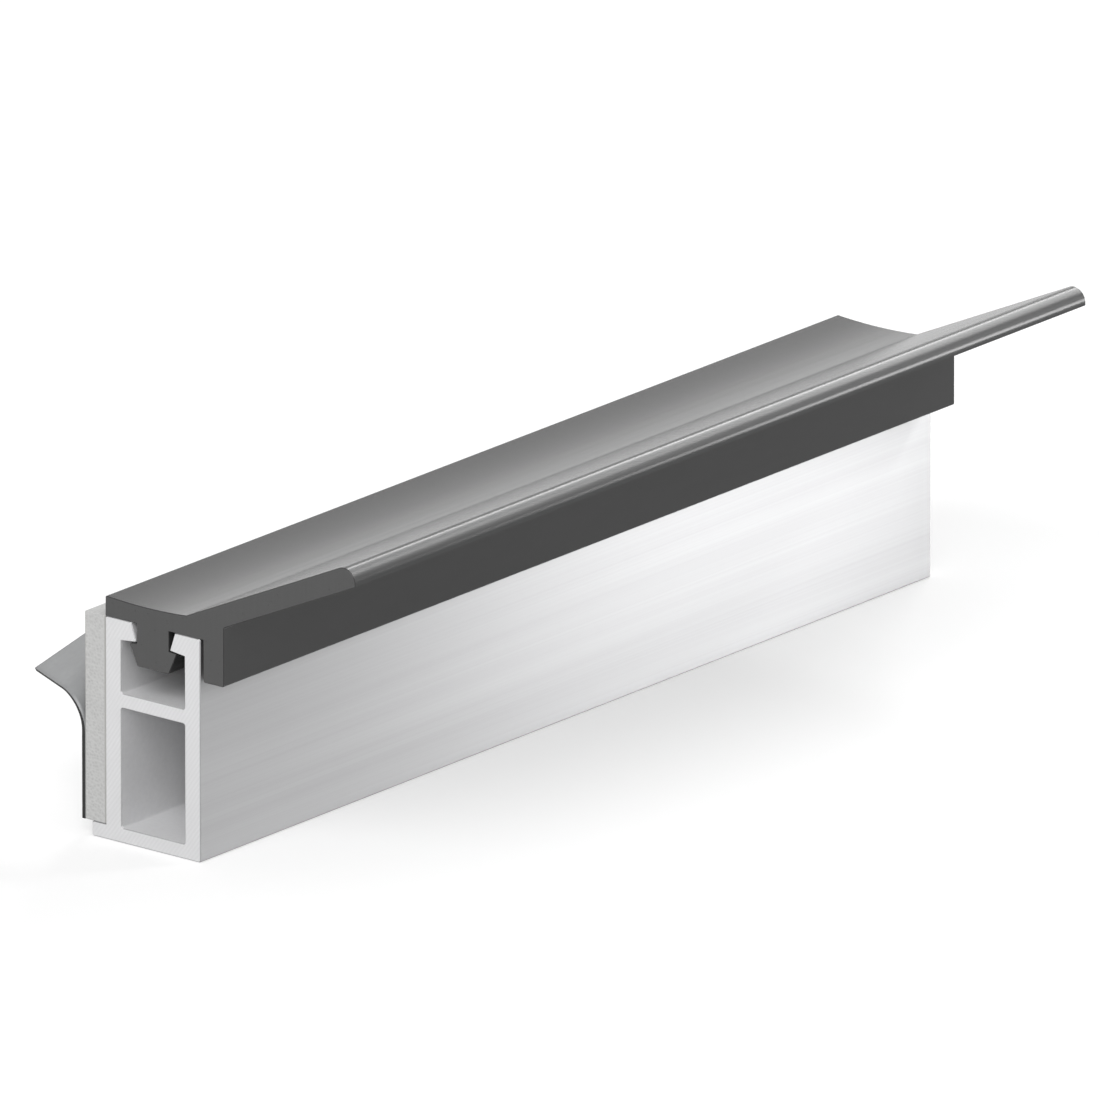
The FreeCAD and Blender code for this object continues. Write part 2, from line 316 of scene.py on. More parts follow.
def extrusion_tree():
    """The tree that turns a section into a strip. It rounds the section's corners, pulls it
    along the strip, breaks the edges of the two cut ends and closes them."""
    tree, given = new_tree(
        "Extruded section",
        [
            ("Length", "Float"),
            ("Edge Break", "Float"),
            ("Arc Step", "Float"),
            ("Most Steps", "Float"),
            ("Skin", "Material"),
            ("Cut", "Material"),
        ],
    )
    size = given.outputs

    # The section, with its corners rounded and the way out of the solid kept at each point.
    outline = add_node(tree, "GeometryNodeMeshToCurve", {"Mesh": size["Geometry"]})
    radius = add_node(tree, "GeometryNodeInputNamedAttribute", {"Name": "rounding"})
    steps = add_node(
        tree, "ShaderNodeMath", {0: radius, 1: size["Arc Step"]}, operation="DIVIDE"
    )
    steps = add_node(tree, "ShaderNodeMath", {0: steps, 1: FEWEST_STEPS}, operation="ADD")
    steps = add_node(
        tree, "ShaderNodeMath", {0: steps, 1: size["Most Steps"]}, operation="MINIMUM"
    )
    rounded = add_node(
        tree,
        "GeometryNodeFilletCurve",
        {"Curve": outline, "Count": steps, "Radius": radius},
        mode="POLY",
    )
    tangent = add_node(tree, "GeometryNodeInputTangent")
    outwards = add_node(
        tree, "ShaderNodeVectorMath", {0: tangent, 1: (0, 0, 1)}, operation="CROSS_PRODUCT"
    )
    rounded = add_node(
        tree,
        "GeometryNodeStoreNamedAttribute",
        {"Geometry": rounded, "Name": "outwards", "Value": outwards},
        data_type="FLOAT_VECTOR",
        domain="POINT",
    )
    outwards = add_node(
        tree, "GeometryNodeInputNamedAttribute", {"Name": "outwards"}, data_type="FLOAT_VECTOR"
    )
    setback = add_node(
        tree, "ShaderNodeMath", {0: size["Edge Break"], 1: -1.0}, operation="MULTIPLY"
    )
    inwards = add_node(
        tree, "ShaderNodeVectorMath", {0: outwards, "Scale": setback}, operation="SCALE"
    )

    # One half of the strip, from its middle to one cut end: wall, broken edge and end face.
    half = add_node(tree, "ShaderNodeMath", {0: size["Length"], 1: 0.5}, operation="MULTIPLY")
    wall = add_node(tree, "ShaderNodeMath", {0: half, 1: setback}, operation="ADD")
    to_end = add_node(tree, "ShaderNodeCombineXYZ", {"Z": half})
    to_edge = add_node(tree, "ShaderNodeCombineXYZ", {"Z": wall})
    over_edge = add_node(tree, "ShaderNodeCombineXYZ", {"Z": size["Edge Break"]})
    loops = add_node(tree, "GeometryNodeCurveToMesh", {"Curve": rounded})
    walls = add_node(
        tree,
        "GeometryNodeExtrudeMesh",
        {"Mesh": loops, "Offset": to_edge, "Offset Scale": 1.0},
        mode="EDGES",
    )
    ring = add_node(tree, "GeometryNodeSetPosition", {"Geometry": loops, "Offset": to_edge})
    edge = add_node(
        tree,
        "GeometryNodeExtrudeMesh",
        {"Mesh": ring, "Offset": over_edge, "Offset Scale": 1.0},
        mode="EDGES",
    )
    edge = add_node(
        tree,
        "GeometryNodeSetPosition",
        {"Geometry": edge, "Selection": edge.outputs["Top"], "Offset": inwards},
    )
    inset = add_node(tree, "GeometryNodeSetPosition", {"Geometry": rounded, "Offset": inwards})
    face = add_node(tree, "GeometryNodeFillCurve", {"Curve": inset}, mode="TRIANGLES")
    face = add_node(tree, "GeometryNodeSetPosition", {"Geometry": face, "Offset": to_end})
    near = add_node(tree, "GeometryNodeJoinGeometry")
    for part in (face, edge, walls):
        tree.links.new(part.outputs[0], near.inputs[0])

    # The other half mirrors it, and both are welded into one closed mesh, laid along the strip.
    far = add_node(tree, "GeometryNodeTransform", {"Geometry": near, "Scale": (1, 1, -1)})
    far = add_node(tree, "GeometryNodeFlipFaces", {"Mesh": far})
    both = add_node(tree, "GeometryNodeJoinGeometry")
    for part in (far, near):
        tree.links.new(part.outputs[0], both.inputs[0])
    welded = add_node(
        tree, "GeometryNodeMergeByDistance", {"Geometry": both, "Distance": WELD}
    )
    laid = add_node(
        tree, "GeometryNodeTransform", {"Geometry": welded, "Rotation": (math.pi / 2, 0, 0)}
    )

    # The sharp edges are kept sharp, and the cut ends get a material of their own.
    bend = add_node(tree, "GeometryNodeInputMeshEdgeAngle")
    crease = add_node(
        tree, "FunctionNodeCompare", {0: bend, 1: SHARP_EDGE}, operation="GREATER_THAN"
    )
    smooth = add_node(
        tree, "GeometryNodeSetShadeSmooth", {"Geometry": laid, "Shade Smooth": True}
    )
    smooth = add_node(
        tree,
        "GeometryNodeSetShadeSmooth",
        {"Geometry": smooth, "Selection": crease, "Shade Smooth": False},
        domain="EDGE",
    )
    normal = add_node(tree, "GeometryNodeInputNormal")
    facing = add_node(
        tree, "ShaderNodeVectorMath", {0: normal, 1: (0, 1, 0)}, operation="DOT_PRODUCT"
    )
    facing = add_node(
        tree, "ShaderNodeMath", {0: facing.outputs["Value"]}, operation="ABSOLUTE"
    )
    at_cut = add_node(
        tree, "FunctionNodeCompare", {0: facing, 1: CUT_SHARE}, operation="GREATER_THAN"
    )
    realised = add_node(tree, "GeometryNodeRealizeInstances", {"Geometry": smooth})
    skin = add_node(
        tree, "GeometryNodeSetMaterial", {"Geometry": realised, "Material": size["Skin"]}
    )
    cut = add_node(
        tree,
        "GeometryNodeSetMaterial",
        {"Geometry": skin, "Selection": at_cut, "Material": size["Cut"]},
    )
    add_node(tree, "NodeGroupOutput", {"Geometry": cut})
    return tree


def section_mesh(loops):
    """Closed outlines as a mesh of edges, each corner with the radius that rounds it. A corner
    is its X, its Z and its radius, and the solid lies to the left of the way round."""
    mesh = bpy.data.meshes.new("section")
    places = [(x, z, 0) for corners in loops for x, z, radius in corners]
    edges = []
    for corners in loops:
        first = len(edges)
        count = len(corners)
        edges += [(first + i, first + (i + 1) % count) for i in range(count)]
    mesh.from_pydata(places, edges, [])
    rounding = mesh.attributes.new("rounding", "FLOAT", "POINT")
    rounding.data.foreach_set("value", [radius for corners in loops for x, z, radius in corners])
    return mesh


def extrude(name, loops, edge_break, skin, cut):
    """An extruded piece as long as the strip."""
    tree = bpy.data.node_groups.get("Extruded section") or extrusion_tree()
    values = {
        "Length": LENGTH,
        "Edge Break": edge_break,
        "Arc Step": ARC_STEP,
        "Most Steps": MOST_STEPS,
        "Skin": skin,
        "Cut": cut,
    }
    return run_tree(name, section_mesh(loops), tree, values)


def mirrored(corners):
    """The same corners on the other side of the slot, in reverse order."""
    return [(-x, z, radius) for x, z, radius in reversed(corners)]


def carrier_section(size):
    """The outline of the carrier and of its chamber."""
    front, top = CARRIER_HIGH.x, CARRIER_HIGH.z
    inner = front - size.wall
    throat = inner - size.hook_reach
    floor = TAPE_LOW.z
    slot_floor = top - size.slot
    hook_tip = top - size.hook_depth
    outer, corner, hook = size.outer_radius, size.inner_radius, size.hook_radius
    front_hook = [
        (front, top, outer),
        (throat + size.flare, top, hook),
        (throat, hook_tip, hook),
        (inner, hook_tip - size.undercut, 0),
        (inner, slot_floor, corner),
    ]
    outside = [
        (CARRIER_LOW.x, 0, outer),
        (front, 0, outer),
        *front_hook,
        *mirrored(front_hook),
        (-front, floor, 0),
        (CARRIER_LOW.x, floor, outer),
    ]
    roof = slot_floor - size.web
    chamber = [
        (-inner, floor, corner),
        (-inner, roof, corner),
        (inner, roof, corner),
        (inner, floor, corner),
    ]
    return [outside, chamber]


def seal_section(size, carrier):
    """The outline of the seal: foot, stem, skirt, lip and plate."""
    front, top = CARRIER_HIGH.x, CARRIER_HIGH.z
    stem = front - carrier.wall - carrier.hook_reach - size.stem_gap
    shoulder = stem + size.foot_overhang
    neck = top - carrier.hook_depth - size.foot_gap
    slope = carrier.undercut / carrier.hook_reach
    plate_top = top + size.plate
    skirt_inner = front + size.skirt_gap
    skirt_outer = skirt_inner + size.skirt
    skirt_end = top - size.skirt_drop
    lip_root = front - size.lip_setback
    nose = SEAL_HIGH.x
    rise = math.tan(size.lip_angle)
    under = size.lip / math.cos(size.lip_angle)
    nose_top = plate_top + (nose - lip_root) * rise
    nose_radius = (under - size.nose_flat) * math.tan((math.pi / 2 - size.lip_angle) / 2)
    edge, root = size.edge_radius, size.root_radius
    # The plate's top is one shallow arc. It rounds a corner that lies twice as deep as the arc
    # dips, and it ends a root's radius short of the plate's two edges.
    half_plate = (lip_root + front) / 2
    dish_radius = (half_plate - root) * half_plate / (2 * size.dish)
    front_foot = [
        (shoulder - size.foot_taper, SEAL_LOW.z, edge),
        (shoulder, neck - size.foot_overhang * slope, edge),
        (stem, neck, 0),
        (stem, top, 0),
    ]
    outline = [
        (-front, top, 0),
        *mirrored(front_foot),
        *front_foot,
        (skirt_inner, top, 0),
        (skirt_inner, skirt_end, edge),
        (skirt_outer, skirt_end, edge),
        (skirt_outer, plate_top + (skirt_outer - lip_root) * rise - under, root),
        (nose, nose_top - under, 0),
        (nose, nose_top, nose_radius),
        (lip_root, plate_top, root),
        ((lip_root - front) / 2, plate_top - 2 * size.dish, dish_radius),
        (-front, plate_top, edge),
    ]
    return [outline]


def peel_tree():
    """The tree that turns a flat sheet into the release liner. What lies past the fold line is
    rolled round the bend, and what is left past the bend goes on straight."""
    tree, given = new_tree(
        "Peeled sheet",
        [
            ("Middle", "Vector"),
            ("Length", "Float"),
            ("Width", "Float"),
            ("Mesh Step", "Float"),
            ("Fold Start", "Vector"),
            ("Fold End", "Vector"),
            ("Bend Radius", "Float"),
            ("Bend", "Float"),
            ("Paper", "Material"),
        ],
    )
    size = given.outputs

    columns = add_node(
        tree, "ShaderNodeMath", {0: size["Length"], 1: size["Mesh Step"]}, operation="DIVIDE"
    )
    rows = add_node(
        tree, "ShaderNodeMath", {0: size["Width"], 1: size["Mesh Step"]}, operation="DIVIDE"
    )
    sheet = add_node(
        tree,
        "GeometryNodeMeshGrid",
        {
            "Size X": size["Length"],
            "Size Y": size["Width"],
            "Vertices X": columns,
            "Vertices Y": rows,
        },
    )
    # Upright on the tape, with its length along the strip.
    upright = add_node(
        tree,
        "GeometryNodeTransform",
        {
            "Geometry": sheet,
            "Translation": size["Middle"],
            "Rotation": (math.pi / 2, 0, math.pi / 2),
        },
    )

    along = add_node(
        tree,
        "ShaderNodeVectorMath",
        {0: size["Fold End"], 1: size["Fold Start"]},
        operation="SUBTRACT",
    )
    along = add_node(tree, "ShaderNodeVectorMath", {0: along}, operation="NORMALIZE")
    across = add_node(
        tree, "ShaderNodeVectorMath", {0: (1, 0, 0), 1: along}, operation="CROSS_PRODUCT"
    )
    place = add_node(tree, "GeometryNodeInputPosition")
    past_fold = add_node(
        tree, "ShaderNodeVectorMath", {0: place, 1: size["Fold Start"]}, operation="SUBTRACT"
    )
    past_fold = add_node(
        tree, "ShaderNodeVectorMath", {0: past_fold, 1: across}, operation="DOT_PRODUCT"
    )
    turned = add_node(
        tree,
        "ShaderNodeMath",
        {0: past_fold.outputs["Value"], 1: size["Bend Radius"]},
        operation="DIVIDE",
    )
    turned = add_node(
        tree, "ShaderNodeClamp", {"Value": turned, "Min": 0.0, "Max": size["Bend"]}
    )
    # The paper that the bend has taken up is pulled back to the fold, and then turned round it.
    rolled_up = add_node(
        tree, "ShaderNodeMath", {0: turned, 1: size["Bend Radius"]}, operation="MULTIPLY"
    )
    pulled_back = add_node(
        tree, "ShaderNodeVectorMath", {0: across, "Scale": rolled_up}, operation="SCALE"
    )
    pulled_back = add_node(
        tree, "ShaderNodeVectorMath", {0: place, 1: pulled_back}, operation="SUBTRACT"
    )
    to_axis = add_node(tree, "ShaderNodeCombineXYZ", {"X": size["Bend Radius"]})
    axis = add_node(
        tree, "ShaderNodeVectorMath", {0: size["Fold Start"], 1: to_axis}, operation="SUBTRACT"
    )
    rolled = add_node(
        tree,
        "ShaderNodeVectorRotate",
        {"Vector": pulled_back, "Center": axis, "Axis": along, "Angle": turned},
        invert=True,
    )
    peeled = add_node(
        tree, "GeometryNodeSetPosition", {"Geometry": upright, "Position": rolled}
    )
    smooth = add_node(
        tree, "GeometryNodeSetShadeSmooth", {"Geometry": peeled, "Shade Smooth": True}
    )
    realised = add_node(tree, "GeometryNodeRealizeInstances", {"Geometry": smooth})
    finished = add_node(
        tree, "GeometryNodeSetMaterial", {"Geometry": realised, "Material": size["Paper"]}
    )
    add_node(tree, "NodeGroupOutput", {"Geometry": finished})
    return tree


def new_material(name):
    """A material with an empty node tree. Returns it, its tree and its Object coordinates."""
    material = bpy.data.materials.new(name)
    material.use_nodes = True
    tree = material.node_tree
    tree.nodes.clear()
    return material, tree, add_node(tree, "ShaderNodeTexCoord").outputs["Object"]


def finish_material(tree, inputs):
    """Ends a material in its shader."""
    shader = add_node(tree, "ShaderNodeBsdfPrincipled", inputs)
    add_node(tree, "ShaderNodeOutputMaterial", {"Surface": shader})


def anodised_aluminium(size):
    """Natural anodised aluminium, extruded. The die draws fine lines along the strip, which
    stretch its highlights across them. The etch and the oxide make it satin and a bit milky."""
    material, tree, place = new_material("anodised_extruded_aluminium")
    # Real die lines are about 0.05 mm wide, too fine to show, so they are drawn wider.
    line, streak, run = 0.14 * MM, 1.6 * MM, 70 * MM
    fine = add_node(
        tree, "ShaderNodeMapping", {"Vector": place, "Scale": (1 / line, 1 / run, 1 / line)}
    )
    fine = add_node(
        tree, "ShaderNodeTexNoise", {"Vector": fine, "Scale": 1.0, "Detail": 2.0, "Roughness": 0.6}
    )
    broad = add_node(
        tree, "ShaderNodeMapping", {"Vector": place, "Scale": (1 / streak, 1 / run, 1 / streak)}
    )
    broad = add_node(tree, "ShaderNodeTexNoise", {"Vector": broad, "Scale": 1.0, "Detail": 1.0})
    # Each noise spreads round a half, so that their sum spreads round 1.
    tone = add_node(tree, "ShaderNodeMath", {0: fine, 1: broad}, operation="ADD")
    value = add_node(
        tree,
        "ShaderNodeMapRange",
        {"Value": tone, "From Min": 0.6, "From Max": 1.4, "To Min": 0.94, "To Max": 1.06},
    )
    colour = add_node(
        tree, "ShaderNodeHueSaturation", {"Color": size.finish, "Value": value}
    )
    roughness = add_node(
        tree, "ShaderNodeMapRange", {"Value": fine, "To Min": 0.34, "To Max": 0.42}
    )
    bump = add_node(
        tree, "ShaderNodeBump", {"Height": fine, "Strength": 0.6, "Distance": 0.004 * MM}
    )
    # The lines run along the strip, and a highlight stretches across them.
    face = add_node(tree, "ShaderNodeNewGeometry").outputs["True Normal"]
    across = add_node(
        tree, "ShaderNodeVectorMath", {0: face, 1: (0, 1, 0)}, operation="CROSS_PRODUCT"
    )
    finish_material(
        tree,
        {
            "Base Color": colour,
            "Metallic": 0.75,
            "Roughness": roughness,
            "Anisotropic": 1.0,
            "Tangent": across,
            "Normal": bump,
        },
    )
    return material


def etched_aluminium_painted_light(size):
    """The carrier's inside, which brush and polish don't reach and the anodising hardly does.
    It is etched and quite matt, so that it takes in light from the open ends. Its paler colour
    is painted light, which lifts the shade inside the slot and the chamber."""
    material, tree, place = new_material("etched_aluminium_painted_light")
    # Real die lines and etch pits are under 0.1 mm wide, and are drawn wider to show.
    line, run, pit = 0.2 * MM, 25 * MM, 0.3 * MM
    lines = add_node(
        tree, "ShaderNodeMapping", {"Vector": place, "Scale": (1 / line, 1 / run, 1 / line)}
    )
    lines = add_node(
        tree, "ShaderNodeTexNoise", {"Vector": lines, "Scale": 1.0, "Detail": 2.0}
    )
    grain = add_node(
        tree, "ShaderNodeTexNoise", {"Vector": place, "Scale": 1 / pit, "Detail": 3.0}
    )
    value = add_node(
        tree, "ShaderNodeMapRange", {"Value": grain, "To Min": 0.95, "To Max": 1.05}
    )
    # The paler colour is painted light for the shaded slot and chamber.
    colour = add_node(tree, "ShaderNodeHueSaturation", {"Color": size.inside, "Value": value})
    bump = add_node(
        tree, "ShaderNodeBump", {"Height": lines, "Strength": 0.6, "Distance": 0.008 * MM}
    )
    finish_material(
        tree, {"Base Color": colour, "Metallic": 0.35, "Roughness": 0.65, "Normal": bump}
    )
    return material


def sawn_aluminium(size):
    """Bare aluminium, sawn. Each tooth of the blade leaves a shallow arc of torn metal, so the
    end face is pale and nearly matt, with fine curved marks."""
    material, tree, place = new_material("sawn_aluminium")
    # The middle of the saw's blade, up and behind the taped wall.
    blade_x, blade_z = -105 * MM, 78 * MM
    blade = add_node(
        tree, "ShaderNodeMapping", {"Vector": place, "Location": (-blade_x, 0, -blade_z)}
    )
    # Real saw marks are 0.05 to 0.1 mm apart, too fine to show, so they are drawn wider apart.
    mark, patch = 0.24 * MM, 1.2 * MM
    # The rings of a wave texture repeat every 0.314 of a unit.
    ring = 0.314
    marks = add_node(
        tree,
        "ShaderNodeTexWave",
        {
            "Vector": blade,
            "Scale": ring / mark,
            "Distortion": 2.5,
            "Detail": 2.0,
            "Detail Scale": 0.4,
        },
        wave_type="RINGS",
        rings_direction="Y",
    )
    patches = add_node(
        tree, "ShaderNodeTexNoise", {"Vector": place, "Scale": 1 / patch, "Detail": 3.0}
    )
    height = add_node(
        tree,
        "ShaderNodeMath",
        {0: marks.outputs["Fac"], 1: patches.outputs["Fac"]},
        operation="MULTIPLY",
    )
    value = add_node(
        tree, "ShaderNodeMapRange", {"Value": height, "To Min": 0.96, "To Max": 1.04}
    )
    colour = add_node(tree, "ShaderNodeHueSaturation", {"Color": size.cut, "Value": value})
    roughness = add_node(
        tree, "ShaderNodeMapRange", {"Value": height, "To Min": 0.6, "To Max": 0.48}
    )
    bump = add_node(
        tree, "ShaderNodeBump", {"Height": height, "Strength": 0.5, "Distance": 0.012 * MM}
    )
    finish_material(
        tree,
        {"Base Color": colour, "Metallic": 0.4, "Roughness": roughness, "Normal": bump},
    )
    return material


def extruded_rubber(size):
    """Solid rubber, extruded through a polished die. Its soft shine brightens at a flat angle,
    and it has faint lines along it and the slight grey cloudiness of its wax."""
    material, tree, place = new_material("extruded_rubber")
    # Real grain is 0.02 to 0.05 mm wide and the lines about 0.1 mm, so both are drawn wider.
    line, run, speck = 0.22 * MM, 45 * MM, 0.16 * MM
    cloud_width, cloud_length = 2 * MM, 7 * MM
    lines = add_node(
        tree, "ShaderNodeMapping", {"Vector": place, "Scale": (1 / line, 1 / run, 1 / line)}
    )
    lines = add_node(
        tree, "ShaderNodeTexNoise", {"Vector": lines, "Scale": 1.0, "Detail": 2.0}
    )
    grain = add_node(
        tree, "ShaderNodeTexNoise", {"Vector": place, "Scale": 1 / speck, "Detail": 2.0}
    )
    cloud = add_node(
        tree,
        "ShaderNodeMapping",
        {"Vector": place, "Scale": (1 / cloud_width, 1 / cloud_length, 1 / cloud_width)},
    )
    cloud = add_node(
        tree, "ShaderNodeTexNoise", {"Vector": cloud, "Scale": 1.0, "Detail": 3.0}
    )
    value = add_node(
        tree, "ShaderNodeMapRange", {"Value": cloud, "To Min": 0.9, "To Max": 1.12}
    )
    colour = add_node(tree, "ShaderNodeHueSaturation", {"Color": size.rubber, "Value": value})
    roughness = add_node(
        tree, "ShaderNodeMapRange", {"Value": lines, "To Min": 0.2, "To Max": 0.28}
    )
    bump = add_node(
        tree, "ShaderNodeBump", {"Height": grain, "Strength": 0.15, "Distance": 0.004 * MM}
    )
    bump = add_node(
        tree,
        "ShaderNodeBump",
        {"Height": lines, "Strength": 0.15, "Distance": 0.005 * MM, "Normal": bump},
    )
    finish_material(
        tree,
        {
            "Base Color": colour,
            "Roughness": roughness,
            "Specular IOR Level": 0.3,
            "Normal": bump,
        },
    )
    return material


def cut_rubber(size):
    """The same rubber where a blade cut it. The blade drags fine upright lines and leaves a
    duller, greyer face with a few pores."""
    material, tree, place = new_material("cut_rubber")
    # Real drag lines are about 0.05 mm wide and real pores under 0.1 mm, too fine to show, so
    # both are drawn wider. A pore's radius is a share of how far apart the pores are.
    line, depth, run = 0.18 * MM, 1 * MM, 5 * MM
    pore_spacing, pore_radius = 0.5 * MM, 0.16
    drag = add_node(
        tree, "ShaderNodeMapping", {"Vector": place, "Scale": (1 / line, 1 / depth, 1 / run)}
    )
    drag = add_node(tree, "ShaderNodeTexNoise", {"Vector": drag, "Scale": 1.0, "Detail": 3.0})
    pores = add_node(
        tree, "ShaderNodeTexVoronoi", {"Vector": place, "Scale": 1 / pore_spacing}
    ).outputs["Distance"]
    pores = add_node(tree, "ShaderNodeMapRange", {"Value": pores, "From Max": pore_radius})
    value = add_node(
        tree, "ShaderNodeMapRange", {"Value": drag, "To Min": 0.9, "To Max": 1.1}
    )
    # Painted shade: the middle of each pore is darkened, as the shade inside the pore.
    value = add_node(tree, "ShaderNodeMath", {0: value, 1: pores}, operation="MULTIPLY")
    value = add_node(
        tree, "ShaderNodeMapRange", {"Value": value, "To Min": 0.6, "To Max": 1.0}
    )
    colour = add_node(tree, "ShaderNodeHueSaturation", {"Color": size.cut, "Value": value})
    roughness = add_node(
        tree, "ShaderNodeMapRange", {"Value": drag, "To Min": 0.5, "To Max": 0.68}
    )
    bump = add_node(
        tree, "ShaderNodeBump", {"Height": pores, "Strength": 0.4, "Distance": 0.02 * MM}
    )
    bump = add_node(
        tree,
        "ShaderNodeBump",
        {"Height": drag, "Strength": 0.5, "Distance": 0.01 * MM, "Normal": bump},
    )
    finish_material(tree, {"Base Color": colour, "Roughness": roughness, "Normal": bump})
    return material


def foam(size):
    """Closed-cell foam with an adhesive film on each face, slit to width. The slit and cut faces
    show the cells, cut open, between two thin smooth lines of adhesive."""
    material, tree, place = new_material("closed_cell_foam")
    # The foam's tone varies in patches of this width, and each cell darkens towards its middle
    # from this share of its width, which is painted shade inside the cut-open cell.
    patch, cell_shade_share = 1.5 * MM, 0.6
    cells = add_node(
        tree,
        "ShaderNodeTexVoronoi",
        {"Vector": place, "Scale": 1 / size.cell, "Randomness": 0.9},
    ).outputs["Distance"]
    thin = add_node(
        tree, "ShaderNodeTexNoise", {"Vector": place, "Scale": 1 / patch, "Detail": 2.0}
    )
    # Painted shade: the middle of each cut-open cell is made darker.
    cell_shade = add_node(
        tree,
        "ShaderNodeMapRange",
        {"Value": cells, "From Max": cell_shade_share, "To Min": 0.9, "To Max": 1.04},
    )
    shade = add_node(
        tree, "ShaderNodeMapRange", {"Value": thin, "To Min": 0.95, "To Max": 1.05}
    )
    value = add_node(tree, "ShaderNodeMath", {0: cell_shade, 1: shade}, operation="MULTIPLY")
    colour = add_node(tree, "ShaderNodeHueSaturation", {"Color": size.foam, "Value": value})

    # Whether a point lies in one of the films.
    middle = (TAPE_LOW.x + TAPE_HIGH.x) / 2
    half = (TAPE_HIGH.x - TAPE_LOW.x) / 2
    x = add_node(tree, "ShaderNodeSeparateXYZ", {"Vector": place})
    x = add_node(tree, "ShaderNodeMath", {0: x, 1: middle}, operation="SUBTRACT")
    x = add_node(tree, "ShaderNodeMath", {0: x}, operation="ABSOLUTE")
    film = add_node(
        tree, "ShaderNodeMath", {0: x, 1: half - size.film}, operation="GREATER_THAN"
    )
    # A Mix node has its two colours in inputs 6 and 7, and its result in output 2.
    colour = add_node(
        tree, "ShaderNodeMix", {0: film, 6: colour, 7: size.adhesive}, data_type="RGBA"
    ).outputs[2]
    roughness = add_node(
        tree, "ShaderNodeMapRange", {"Value": film, "To Min": 0.85, "To Max": 0.3}
    )
    strength = add_node(
        tree, "ShaderNodeMapRange", {"Value": film, "To Min": 0.6, "To Max": 0.08}
    )
    bump = add_node(
        tree, "ShaderNodeBump", {"Height": cells, "Strength": strength, "Distance": 0.06 * MM}
    )
    finish_material(tree, {"Base Color": colour, "Roughness": roughness, "Normal": bump})
    return material


def release_paper(name, colour, smooth, rough):
    """Release paper, calendered. Its fibres show as a faint mottling, and the siliconised side
    is smoother and shines more than the back."""
    material, tree, place = new_material(name)
    # A fibre is about 0.02 mm wide, too fine to show, so what is drawn is how they clump.
    clump, patch = 0.35 * MM, 2.5 * MM
    fibres = add_node(
        tree, "ShaderNodeTexNoise", {"Vector": place, "Scale": 1 / clump, "Detail": 4.0}
    )
    cloud = add_node(
        tree, "ShaderNodeTexNoise", {"Vector": place, "Scale": 1 / patch, "Detail": 2.0}
    )
    mottling = add_node(tree, "ShaderNodeMath", {0: fibres, 1: cloud}, operation="MULTIPLY")
    value = add_node(
        tree,
        "ShaderNodeMapRange",
        {"Value": mottling, "From Min": 0.1, "From Max": 0.45, "To Min": 0.93, "To Max": 1.06},
    )
    colour = add_node(tree, "ShaderNodeHueSaturation", {"Color": colour, "Value": value})
    roughness = add_node(
        tree, "ShaderNodeMapRange", {"Value": fibres, "To Min": smooth, "To Max": rough}
    )
    bump = add_node(
        tree, "ShaderNodeBump", {"Height": fibres, "Strength": 0.3, "Distance": 0.01 * MM}
    )
    finish_material(tree, {"Base Color": colour, "Roughness": roughness, "Normal": bump})
    return material


class SEALSTRIP_OT_carrier(bpy.types.Operator):
    """Makes the aluminium carrier"""

    bl_idname = "sealstrip.carrier"
    bl_label = "Add carrier"

    def execute(self, context):
        size = context.scene.seal_strip.carrier
        piece = extrude(
            "aluminium_carrier",
            carrier_section(size),
            size.edge_break,
            anodised_aluminium(size),
            sawn_aluminium(size),
        )
        # The faces of the slot and the chamber lie between the walls' middles, above the
        # underside and below the carrier's top. Their broken edges keep the outside's finish.
        # They take the paler etched finish, whose colour is painted light that lifts their shade.
        inside = len(piece.data.materials)
        piece.data.materials.append(etched_aluminium_painted_light(size))
        side = CARRIER_HIGH.x - size.wall / 2
        bottom = TAPE_LOW.z - size.wall / 2
        top = CARRIER_HIGH.z - size.outer_radius / 10
        for face in piece.data.polygons:
            x, _, z = face.center
            if abs(x) < side and bottom < z < top and abs(face.normal.y) < BROKEN_SHARE:
                face.material_index = inside
        seat(piece, "carrier_profile")
        return {"FINISHED"}


class SEALSTRIP_OT_seal(bpy.types.Operator):
    """Makes the rubber lip seal"""

    bl_idname = "sealstrip.seal"
    bl_label = "Add seal"

    def execute(self, context):
        settings = context.scene.seal_strip
        size = settings.seal
        piece = extrude(
            "rubber_seal",
            seal_section(size, settings.carrier),
            size.edge_break,
            extruded_rubber(size),
            cut_rubber(size),
        )
        seat(piece, "lip_seal")
        return {"FINISHED"}


class SEALSTRIP_OT_tape(bpy.types.Operator):
    """Makes the foam adhesive tape"""

    bl_idname = "sealstrip.tape"
    bl_label = "Add tape"

    def execute(self, context):
        size = context.scene.seal_strip.tape
        low, high, edge = TAPE_LOW, TAPE_HIGH, size.edge_radius
        outline = [
            (low.x, low.z, edge),
            (high.x, low.z, edge),
            (high.x, high.z, edge),
            (low.x, high.z, edge),
        ]
        material = foam(size)
        piece = extrude("foam_adhesive_tape", [outline], size.edge_break, material, material)
        seat(piece, "foam_tape")
        return {"FINISHED"}


